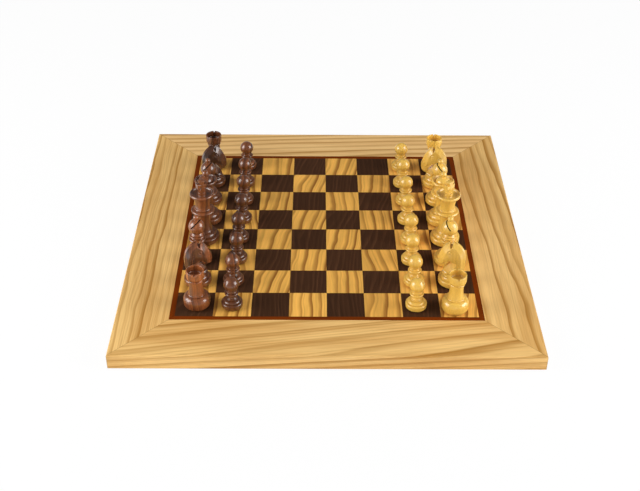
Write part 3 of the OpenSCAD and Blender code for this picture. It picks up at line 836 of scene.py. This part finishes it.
def carved_half(xz, runs):
    """Half the head's thickness over its side view: chamfers, cheek, nostril, eye and the strokes of the mane."""
    p = KNIGHT
    b = p["base_height"]
    mane, _, face, jaw, chest = runs
    z = xz[:, 1] - b
    half = np.interp(z / (p["height"] - b), *THICK_UP) * np.interp(xz[:, 0], *THICK_ALONG) * p["thick"] / 2
    into_chest = distance_to(xz, chest) + 3.0 * np.clip(z - CHEST_TOP, 0, None)
    cuts = np.minimum.reduce([
        chamfer(distance_to(xz, mane), wide=4.2, edge=0.42), chamfer(distance_to(xz, face), wide=5.2, edge=0.42),
        chamfer(distance_to(xz, jaw), wide=1.3, edge=0.60), chamfer(into_chest, wide=6.0, edge=0.42)])
    half *= 1 - (1 - cuts) * np.clip(z / 2.0, 0, 1)
    for (x, up), size, high in SWELLINGS:
        half += high * hump(xz, (x, b + up), size)
    eye = np.hypot(xz[:, 0] - EYE["at"][0], z - EYE["at"][1])
    half += EYE["high"] * np.exp(-(eye / EYE["ball"]) ** 2)
    half -= EYE["deep"] * np.exp(-((eye - EYE["rim"]) / EYE["rim_wide"]) ** 2)
    crest = [q for q in mane if 8 < q[1] - b < 28]
    for start, inward in MANE_ROWS:
        for i in range(start, len(crest) - 1, 2):
            (x0, z0), (x1, z1) = crest[i - 1], crest[i + 1]
            size = math.hypot(x1 - x0, z1 - z0)
            tx, tz = (x1 - x0) / size, (z1 - z0) / size
            half -= stroke(xz, (crest[i][0] + tz * inward, crest[i][1] - tx * inward),
                           (tx * 0.75 + tz * 0.25, tz * 0.75 - tx * 0.25), wide=0.36, deep=0.55)
    return half


def knight_head_shape(grid):
    """Cuts the head's plate out, with its ear groove and mouth, then carves both faces."""
    p = KNIGHT
    b, h, w = p["base_height"], p["height"], p["groove"]
    runs = head_parts()
    groove = prism([(-17, -w, h + 0.5), (-17, w, h + 0.5), (-17, 0, h - p["groove_depth"])], (18, 0, 0))
    mouth = block((5.0, 16, p["mouth"]), Matrix.Translation((14.0 * MM, 0, (b + 13.0) * MM))
                  @ Matrix.Rotation(math.radians(p["mouth_slope"]), 4, "Y"))
    bm = cut(slab(sum(runs, []), p["thick"] / 2), [groove, mouth], grid)
    co = np.array([v.co[:] for v in bm.verts]) / MM
    half = carved_half(co[:, [0, 2]], runs)
    for vert, y in zip(bm.verts, np.clip(co[:, 1], -half, half)):
        vert.co.y = y * MM
    bmesh.ops.smooth_vert(bm, verts=bm.verts, factor=0.5, use_axis_x=True, use_axis_y=True, use_axis_z=True)
    bmesh.ops.recalc_face_normals(bm, faces=bm.faces)
    return bm


# ---------- operators ----------

# Each rail's cut from the log: where and how its pattern lies, its rings, and how strongly its lines show.
RAILS = {
    "frame_front": dict(shift=(0.40, 0.250, 0.0), turn=-0.06, depth=0.18, spacing=0.0068, warp=0.0045,
                        length=6.0, rise=-0.055, weakest=0.30, fine=0.45, shade=1.0),
    "frame_back": dict(shift=(0.90, -0.090, 0.0), turn=0, depth=0.16, spacing=0.0050, warp=0.0055,
                       length=4.5, rise=-0.030, weakest=0.30, fine=0.45, shade=1.0),
    "frame_left": dict(shift=(2.10, 0.320, 0.0), turn=QUARTER, depth=0.15, spacing=0.0042, warp=0.0090,
                       length=9.0, rise=0.015, weakest=0.15, fine=0.30, shade=1.0),
    "frame_right": dict(shift=(0.30, 0.300, 0.0), turn=-QUARTER, depth=0.085, spacing=0.0078, warp=0.0160,
                        length=8.0, rise=-0.100, weakest=0.10, fine=0.28, shade=0.97),
}
# Where each lamp stands, what it points at, and its width and height, in metres.
LAMPS = {
    "Left soft box": ((-1.0, -0.24, 0.48), (0, 0, 0.03), (0.74, 0.74)),
    "Right soft box": ((1.0, -0.24, 0.48), (0, 0, 0.03), (0.74, 0.74)),
    "Top light": ((0, 0.1, 1.6), (0, 0, 0), (1.4, 1.1)),
    "Front light": ((0, -1.6, 0.5), (0, 0, 0), (1.2, 0.8)),
}
FLOOR_HALF = 6
FLOOR_WHITE = (0.92, 0.92, 0.92)
FLOOR_PLAIN = 0.95   # share of plain white in what the camera sees of the floor


def centre_of(node):
    """The middle of the square that a man stands on, on top of the board."""
    low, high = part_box(node)
    return Vector(((low.x + high.x) / 2, (low.y + high.y) / 2, BOARD_TOP))


def dress(node, material):
    """Gives a solid that keeps its own shape a new material."""
    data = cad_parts[node].data
    data.materials.clear()
    data.materials.append(material)


def set_men(context, bm, kind, cloth=CLOTH, crease=TURNED_CREASE):
    """Places copies of one man for both sides: a piece of a pair at each end, or a single one."""
    materials = men_materials(context, "carved" if kind == "knight_head" else "lacquered")
    for side in SIDES:
        paired = f"{side}_{kind}_near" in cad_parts
        for name in ([f"{kind}_{end}" for end in ENDS] if paired else [kind]):
            end = "_" + name.rsplit("_", 1)[1] if paired else ""
            family = kind.split("_")[0]
            stand = f"{side}_{'knight_base' if family == 'knight' else family}{end}"
            turn = math.radians(RANK_TURN[side][family + end])
            place_piece(bm, f"{side}_{name}_turned", f"{side}_{name}", f"{side}_{family}{end}_piece",
                        centre_of(stand), turn, materials[side], cloth, crease)
    bm.free()


class CHESS_OT_frame_rails(Operator):
    """Give the four mitred rails their figured wood"""
    bl_idname = "chess.frame_rails"
    bl_label = "Frame rails"

    def execute(self, context):
        s = context.scene.chess_board
        for node, rail in RAILS.items():
            early = (s.back_pale, s.back_tan) if node == "frame_back" else (s.frame_pale, s.frame_tan)
            pale, tan = (scaled(wood, rail["shade"]) for wood in early)
            dress(node, frame_wood(s, node.replace("_", " ").capitalize() + " wood", rail, pale, tan))
        return {"FINISHED"}


class CHESS_OT_inlay(Operator):
    """Give the squares and the border strips their veneers"""
    bl_idname = "chess.inlay"
    bl_label = "Squares and border"

    def execute(self, context):
        s = context.scene.chess_board
        dress("light_squares", light_veneer(s))
        dress("dark_squares", dark_veneer(s))
        for strip, turn in (("front", 0), ("back", 0), ("left", QUARTER), ("right", QUARTER)):
            dress("border_" + strip, plain_wood(f"Border {strip} strip", s.border, scaled(s.border, 0.45), turn,
                                                spacing=0.0021))
        return {"FINISHED"}


class CHESS_OT_underside(Operator):
    """Finish the core, the backing veneer and the corner splines"""
    bl_idname = "chess.underside"
    bl_label = "Core, backing and splines"

    def execute(self, context):
        s = context.scene.chess_board
        for node, ground, late, spacing, roughness in (
                ("core_panel", scaled(s.frame_pale, 0.8), scaled(s.frame_dark, 0.8), 0.004, 0.7),
                ("backing_veneer", scaled(s.light_square, 0.85), scaled(s.light_grain, 1.4), 0.006, 0.6),
                ("corner_splines", s.frame_pale, s.frame_dark, 0.005, 0.6)):
            dress(node, plain_wood(node.replace("_", " ").capitalize(), ground, late, 0, spacing, roughness))
        return {"FINISHED"}


class CHESS_OT_pawns(Operator):
    """Turn the sixteen pawns"""
    bl_idname = "chess.pawns"
    bl_label = "Pawns"

    def execute(self, context):
        bm = pawn_shape(context.scene.chess_men.spin_steps)
        materials = men_materials(context)
        for side in SIDES:
            for i in range(1, 9):
                node = f"{side}_pawn_{i}"
                place_piece(bm, node + "_turned", node, node + "_piece",
                            centre_of(node), math.radians(37 * i), materials[side], CLOTH)
        bm.free()
        return {"FINISHED"}


class CHESS_OT_rooks(Operator):
    """Turn the rooks and cut the notches in their rims"""
    bl_idname = "chess.rooks"
    bl_label = "Rooks"

    def execute(self, context):
        set_men(context, rook_shape(context.scene.chess_men.spin_steps), "rook")
        return {"FINISHED"}


class CHESS_OT_knights(Operator):
    """Turn the knights' bases and carve their heads"""
    bl_idname = "chess.knights"
    bl_label = "Knights"

    def execute(self, context):
        s = context.scene.chess_men
        set_men(context, knight_base_shape(s.spin_steps), "knight_base")
        set_men(context, knight_head_shape(s.carve_grid), "knight_head", cloth=None, crease=180)
        return {"FINISHED"}


class CHESS_OT_bishops(Operator):
    """Turn the bishops and saw the slit in each head"""
    bl_idname = "chess.bishops"
    bl_label = "Bishops"

    def execute(self, context):
        set_men(context, bishop_shape(context.scene.chess_men.spin_steps), "bishop")
        return {"FINISHED"}


class CHESS_OT_queens(Operator):
    """Turn the queens"""
    bl_idname = "chess.queens"
    bl_label = "Queens"

    def execute(self, context):
        set_men(context, queen_shape(context.scene.chess_men.spin_steps), "queen")
        return {"FINISHED"}


class CHESS_OT_kings(Operator):
    """Turn the kings and carve their finials"""
    bl_idname = "chess.kings"
    bl_label = "Kings"

    def execute(self, context):
        set_men(context, king_shape(context.scene.chess_men.spin_steps), "king")
        set_men(context, finial_shape(), "king_finial", cloth=None, crease=40)
        return {"FINISHED"}


def as_lamp(name, at, aim, size, watts):
    light = bpy.data.lights.new(name, "AREA")
    light.shape, light.size, light.size_y = "RECTANGLE", size[0], size[1]
    light.energy = watts
    obj = bpy.data.objects.new(name, light)
    obj.location = at
    obj.rotation_euler = (Vector(aim) - Vector(at)).to_track_quat("-Z", "Y").to_euler()
    bpy.context.scene.collection.objects.link(obj)
    return obj


def set_camera(scene, s):
    """Makes the camera and turns it down, aside and about its view."""
    down, aside, roll = s.camera_down, s.camera_aside, s.camera_roll
    ahead = Vector((math.sin(aside) * math.cos(down), math.cos(aside) * math.cos(down), -math.sin(down)))
    right = Vector((math.cos(aside), -math.sin(aside), 0))
    up = right.cross(ahead)
    tilted_right = right * math.cos(roll) + up * math.sin(roll)
    tilted_up = up * math.cos(roll) - right * math.sin(roll)
    camera = bpy.data.cameras.new("Camera")
    camera.lens, camera.sensor_width, camera.sensor_fit = s.lens, 36, "HORIZONTAL"
    camera.clip_start = 0.01
    seen = bpy.data.objects.new("Camera", camera)
    seen.matrix_world = Matrix.Translation(s.camera_at) @ Matrix(
        (tilted_right, tilted_up, -ahead)).transposed().to_4x4()
    scene.collection.objects.link(seen)
    scene.camera = seen


def lay_floor():
    """A white floor that the camera sees nearly plain white, with a trace of the shadows."""
    bm = bmesh.new()
    bmesh.ops.create_grid(bm, x_segments=8, y_segments=8, size=FLOOR_HALF)
    floor = as_object(bm, "floor")
    material, n, shader, place = new_material("White sweep", roughness=0.8, specular=0.2)
    n.put(shader, "Base Color", FLOOR_WHITE)
    paper = n.noise(place, 40.0, detail=3.0, roughness=0.6)
    n.put(shader, "Roughness", n.math("MULTIPLY_ADD", paper, 0.1, 0.75))
    white = n.add("ShaderNodeEmission", {"Color": WHITE, "Strength": 1.0}).outputs[0]
    share = n.math("MULTIPLY", n.add("ShaderNodeLightPath").outputs["Is Camera Ray"], FLOOR_PLAIN)
    blend = n.add("ShaderNodeMixShader", {0: share, 1: shader.outputs[0], 2: white}).outputs[0]
    n.put(material.node_tree.nodes["Material Output"], "Surface", blend)
    floor.data.materials.append(material)


def light_room(scene, s):
    """A white room for the camera, dimmer as a light and dimmer again where lacquer mirrors it."""
    world = bpy.data.worlds.new("Studio")
    scene.world = world
    world.use_nodes = True
    n = Nodes(world.node_tree)
    rays = n.add("ShaderNodeLightPath").outputs
    ground = world.node_tree.nodes["Background"]
    n.put(ground, "Color", WHITE)
    plain = n.math("MULTIPLY_ADD", rays["Is Camera Ray"], 1 - s.sky, s.sky)
    n.put(ground, "Strength", n.math("MULTIPLY_ADD", rays["Is Glossy Ray"], s.mirrored - s.sky, plain))


class CHESS_OT_stage(Operator):
    """Set the camera, the white floor and the studio lights"""
    bl_idname = "chess.stage"
    bl_label = "Camera, floor and lights"

    def execute(self, context):
        s, scene = context.scene.chess_stage, context.scene
        scene.view_settings.view_transform = "Standard"
        set_camera(scene, s)
        lay_floor()
        light_room(scene, s)
        for (name, lamp), watts in zip(LAMPS.items(), (s.box_watts, s.box_watts, s.top_watts, s.front_watts)):
            as_lamp(name, *lamp, watts).visible_glossy = name.endswith("box")
        return {"FINISHED"}


STEPS = (CHESS_OT_stage, CHESS_OT_frame_rails, CHESS_OT_inlay, CHESS_OT_underside, CHESS_OT_pawns,
         CHESS_OT_rooks, CHESS_OT_knights, CHESS_OT_bishops, CHESS_OT_queens, CHESS_OT_kings)
SETTINGS = {"chess_board": ChessBoardSettings, "chess_men": ChessMenSettings, "chess_stage": ChessStageSettings}


class CHESS_PT_pieces(Panel):
    """Lists the steps that make the board and its men"""
    bl_label = "Chessboard and men"
    bl_idname = "CHESS_PT_pieces"
    bl_space_type = "VIEW_3D"
    bl_region_type = "UI"
    bl_category = "Chess"

    def draw(self, context):
        for name, group in SETTINGS.items():
            column = self.layout.column(align=True)
            for key in group.__annotations__:
                column.prop(getattr(context.scene, name), key)
        for step in STEPS:
            self.layout.operator(step.bl_idname)


CLASSES = (*SETTINGS.values(), *STEPS, CHESS_PT_pieces)


def register():
    for cls in CLASSES:
        bpy.utils.register_class(cls)
    for name, group in SETTINGS.items():
        setattr(bpy.types.Scene, name, PointerProperty(type=group))


def unregister():
    for name in SETTINGS:
        delattr(bpy.types.Scene, name)
    for cls in reversed(CLASSES):
        bpy.utils.unregister_class(cls)


def main():
    register()
    for step in STEPS:
        family, name = step.bl_idname.split(".")
        getattr(getattr(bpy.ops, family), name)()


if __name__ == "__main__":
    main()
